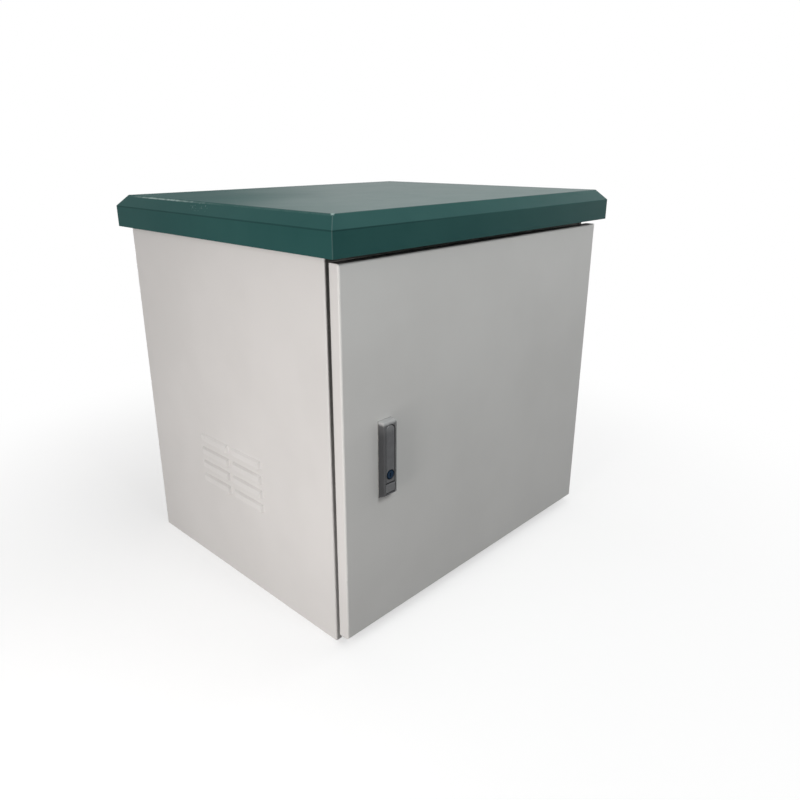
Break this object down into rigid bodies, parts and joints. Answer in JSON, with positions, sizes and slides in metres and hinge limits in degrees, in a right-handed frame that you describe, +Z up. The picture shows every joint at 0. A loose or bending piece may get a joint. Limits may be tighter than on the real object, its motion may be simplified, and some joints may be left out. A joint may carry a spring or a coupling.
{
  "type": "roadside utility cabinet",
  "caption": "Outdoor sheet-steel utility cabinet with an overhanging bevelled roof, a hinged door with a flush pull-handle lock, louvred sides and rack rails inside.",
  "frame": {"origin": "centre of the base's anchor hole pattern, on the ground", "axes": "+X across the front towards the hinges, +Y from the door to the back, +Z up"},
  "size_m": [0.634, 0.5264, 0.6],
  "materials": {
    "body_grey": "fine satin powder coat",
    "roof_green": "satin paint",
    "handle_grey": "satin",
    "zinc_plated": "zinc plated",
    "key_steel": "nickel plated",
    "key_blue": "gloss",
    "rubber_black": "matt foam rubber",
    "filter_plastic": "matt",
    "filter_mat": "fibrous mat"
  },
  "bodies": {
    "cabinet": {"back_panel": "body_grey", "base_pan": "body_grey", "earth_stud": "zinc_plated", "front_cable_seal": "rubber_black", "front_frame": "body_grey", "gland_plate": "zinc_plated", "gland_plate_screws": "zinc_plated", "hinge_screws": "zinc_plated", "left_filter_cassette": "filter_plastic", "left_filter_mat": "filter_mat", "left_lower_depth_rail": "zinc_plated", "left_rack_rail": "zinc_plated", "left_roof_rail": "zinc_plated", "left_side_panel": "body_grey", "left_upper_depth_rail": "zinc_plated", "lower_hinge_body_leaf": "zinc_plated", "lower_hinge_pin": "zinc_plated", "rack_rail_bolts": "zinc_plated", "rack_rail_nuts": "zinc_plated", "rear_cable_seal": "rubber_black", "right_filter_cassette": "filter_plastic", "right_filter_mat": "filter_mat", "right_lower_depth_rail": "zinc_plated", "right_rack_rail": "zinc_plated", "right_roof_rail": "zinc_plated", "right_side_panel": "body_grey", "right_upper_depth_rail": "zinc_plated", "roof_bolts": "zinc_plated", "roof_canopy": "roof_green", "roof_nuts": "zinc_plated", "top_pan": "body_grey", "upper_hinge_body_leaf": "zinc_plated", "upper_hinge_pin": "zinc_plated", "vent_guard": "zinc_plated"},
    "door": {"door_panel": "body_grey", "door_gasket": "rubber_black", "door_stiffener": "body_grey", "lower_hinge_door_leaf": "zinc_plated", "upper_hinge_door_leaf": "zinc_plated", "handle_housing": "handle_grey", "handle_seal": "rubber_black", "handle_clamp": "zinc_plated", "handle_clamp_screws": "zinc_plated", "lock_spindle": "zinc_plated", "lever_pin": "zinc_plated", "lock_cam": "zinc_plated", "cam_bolt": "zinc_plated"},
    "lever": {"handle_lever": "handle_grey"},
    "button": {"release_button": "handle_grey"},
    "key": {"key_plug": "key_steel", "key_cap": "key_blue"}
  },
  "joints": [
    {"name": "door_swing", "type": "hinge", "parent": "cabinet", "child": "door", "pos_m": [0.29, -0.256, 0.279], "axis": [0, 0, 1], "range_deg": [0, 110]},
    {"name": "lever_lift", "type": "hinge", "parent": "door", "child": "lever", "pos_m": [-0.2255, -0.2722, 0.3147], "axis": [-1, 0, 0], "range_deg": [0, 40]},
    {"name": "button_press", "type": "slide", "parent": "door", "child": "button", "axis": [0, 1, 0], "range_m": [0, 0.0025], "stiffness_N_per_m": 800},
    {"name": "key_turn", "type": "hinge", "parent": "door", "child": "key", "pos_m": [-0.2255, -0.27, 0.251], "axis": [0, 1, 0], "range_deg": [0, 90]}
  ]
}
